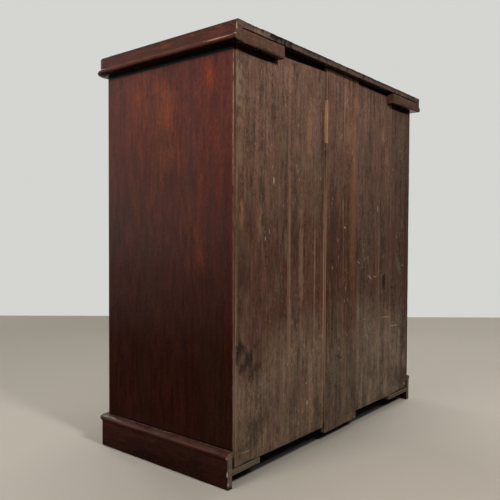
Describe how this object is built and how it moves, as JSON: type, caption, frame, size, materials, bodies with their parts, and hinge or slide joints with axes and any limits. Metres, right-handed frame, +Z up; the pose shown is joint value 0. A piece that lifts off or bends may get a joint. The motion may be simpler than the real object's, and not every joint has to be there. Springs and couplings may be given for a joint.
{
  "type": "chest of drawers",
  "caption": "Upright wooden chest with short drawers over long drawers, turned knobs and drawer locks, a moulded overhanging top, a moulded plinth and a back of upright boards.",
  "frame": {"origin": "on the floor, at the centre of the whole outline, with the knobs and the top's rear overhang", "axes": "+Z up, +X to the right as seen from the front, +Y towards the back; drawers open along -Y"},
  "size_m": [1.01, 0.53, 1.07],
  "materials": {
    "mahogany": "old French polish, semi-gloss",
    "pine": "bare, darkened with age",
    "weathered_pine": "bare, dusty and weathered",
    "drawer_lining": "bare, planed smooth",
    "iron": "dull, a little rusty",
    "brass": "aged, satin"
  },
  "bodies": {
    "carcass": {"side_left": "mahogany", "side_right": "mahogany", "top_board": "mahogany", "top_moulding_front": "mahogany", "top_moulding_left": "mahogany", "top_moulding_right": "mahogany", "drawer_rails": "mahogany", "centre_divider": "mahogany", "top_rail_front": "mahogany", "plinth_front": "mahogany", "plinth_left": "mahogany", "plinth_right": "mahogany", "carcass_bottom": "pine", "rear_lining_blocks": "pine", "top_rail_back": "pine", "drawer_bearers": "pine", "drawer_stops": "pine", "plinth_blocks": "pine", "back_board_1": "weathered_pine", "back_board_2": "weathered_pine", "back_board_3": "weathered_pine", "back_board_4": "weathered_pine", "back_board_5": "weathered_pine", "back_board_6": "weathered_pine", "back_nails": "iron"},
    "drawer_top_left": {"top_left_drawer_front": "mahogany", "top_left_drawer_sides": "drawer_lining", "top_left_drawer_back": "drawer_lining", "top_left_drawer_bottom": "drawer_lining", "top_left_drawer_knobs": "mahogany", "top_left_drawer_lock": "brass"},
    "bolt_top_left": {"top_left_drawer_bolt": "brass"},
    "drawer_top_right": {"top_right_drawer_front": "mahogany", "top_right_drawer_sides": "drawer_lining", "top_right_drawer_back": "drawer_lining", "top_right_drawer_bottom": "drawer_lining", "top_right_drawer_knobs": "mahogany", "top_right_drawer_lock": "brass"},
    "bolt_top_right": {"top_right_drawer_bolt": "brass"},
    "drawer_upper": {"upper_drawer_front": "mahogany", "upper_drawer_sides": "drawer_lining", "upper_drawer_back": "drawer_lining", "upper_drawer_bottom": "drawer_lining", "upper_drawer_knobs": "mahogany", "upper_drawer_lock": "brass"},
    "bolt_upper": {"upper_drawer_bolt": "brass"},
    "drawer_middle": {"middle_drawer_front": "mahogany", "middle_drawer_sides": "drawer_lining", "middle_drawer_back": "drawer_lining", "middle_drawer_bottom": "drawer_lining", "middle_drawer_knobs": "mahogany", "middle_drawer_lock": "brass"},
    "bolt_middle": {"middle_drawer_bolt": "brass"},
    "drawer_lower": {"lower_drawer_front": "mahogany", "lower_drawer_sides": "drawer_lining", "lower_drawer_back": "drawer_lining", "lower_drawer_bottom": "drawer_lining", "lower_drawer_knobs": "mahogany", "lower_drawer_lock": "brass"},
    "bolt_lower": {"lower_drawer_bolt": "brass"}
  },
  "joints": [
    {"name": "top_left_drawer_slide", "type": "slide", "parent": "carcass", "child": "drawer_top_left", "axis": [0, -1, 0], "range_m": [0, 0.32]},
    {"name": "top_left_bolt_slide", "type": "slide", "parent": "drawer_top_left", "child": "bolt_top_left", "axis": [0, 0, 1], "range_m": [0, 0.009]},
    {"name": "top_right_drawer_slide", "type": "slide", "parent": "carcass", "child": "drawer_top_right", "axis": [0, -1, 0], "range_m": [0, 0.32]},
    {"name": "top_right_bolt_slide", "type": "slide", "parent": "drawer_top_right", "child": "bolt_top_right", "axis": [0, 0, 1], "range_m": [0, 0.009]},
    {"name": "upper_drawer_slide", "type": "slide", "parent": "carcass", "child": "drawer_upper", "axis": [0, -1, 0], "range_m": [0, 0.32]},
    {"name": "upper_bolt_slide", "type": "slide", "parent": "drawer_upper", "child": "bolt_upper", "axis": [0, 0, 1], "range_m": [0, 0.009]},
    {"name": "middle_drawer_slide", "type": "slide", "parent": "carcass", "child": "drawer_middle", "axis": [0, -1, 0], "range_m": [0, 0.32]},
    {"name": "middle_bolt_slide", "type": "slide", "parent": "drawer_middle", "child": "bolt_middle", "axis": [0, 0, 1], "range_m": [0, 0.009]},
    {"name": "lower_drawer_slide", "type": "slide", "parent": "carcass", "child": "drawer_lower", "axis": [0, -1, 0], "range_m": [0, 0.32]},
    {"name": "lower_bolt_slide", "type": "slide", "parent": "drawer_lower", "child": "bolt_lower", "axis": [0, 0, 1], "range_m": [0, 0.009]}
  ]
}
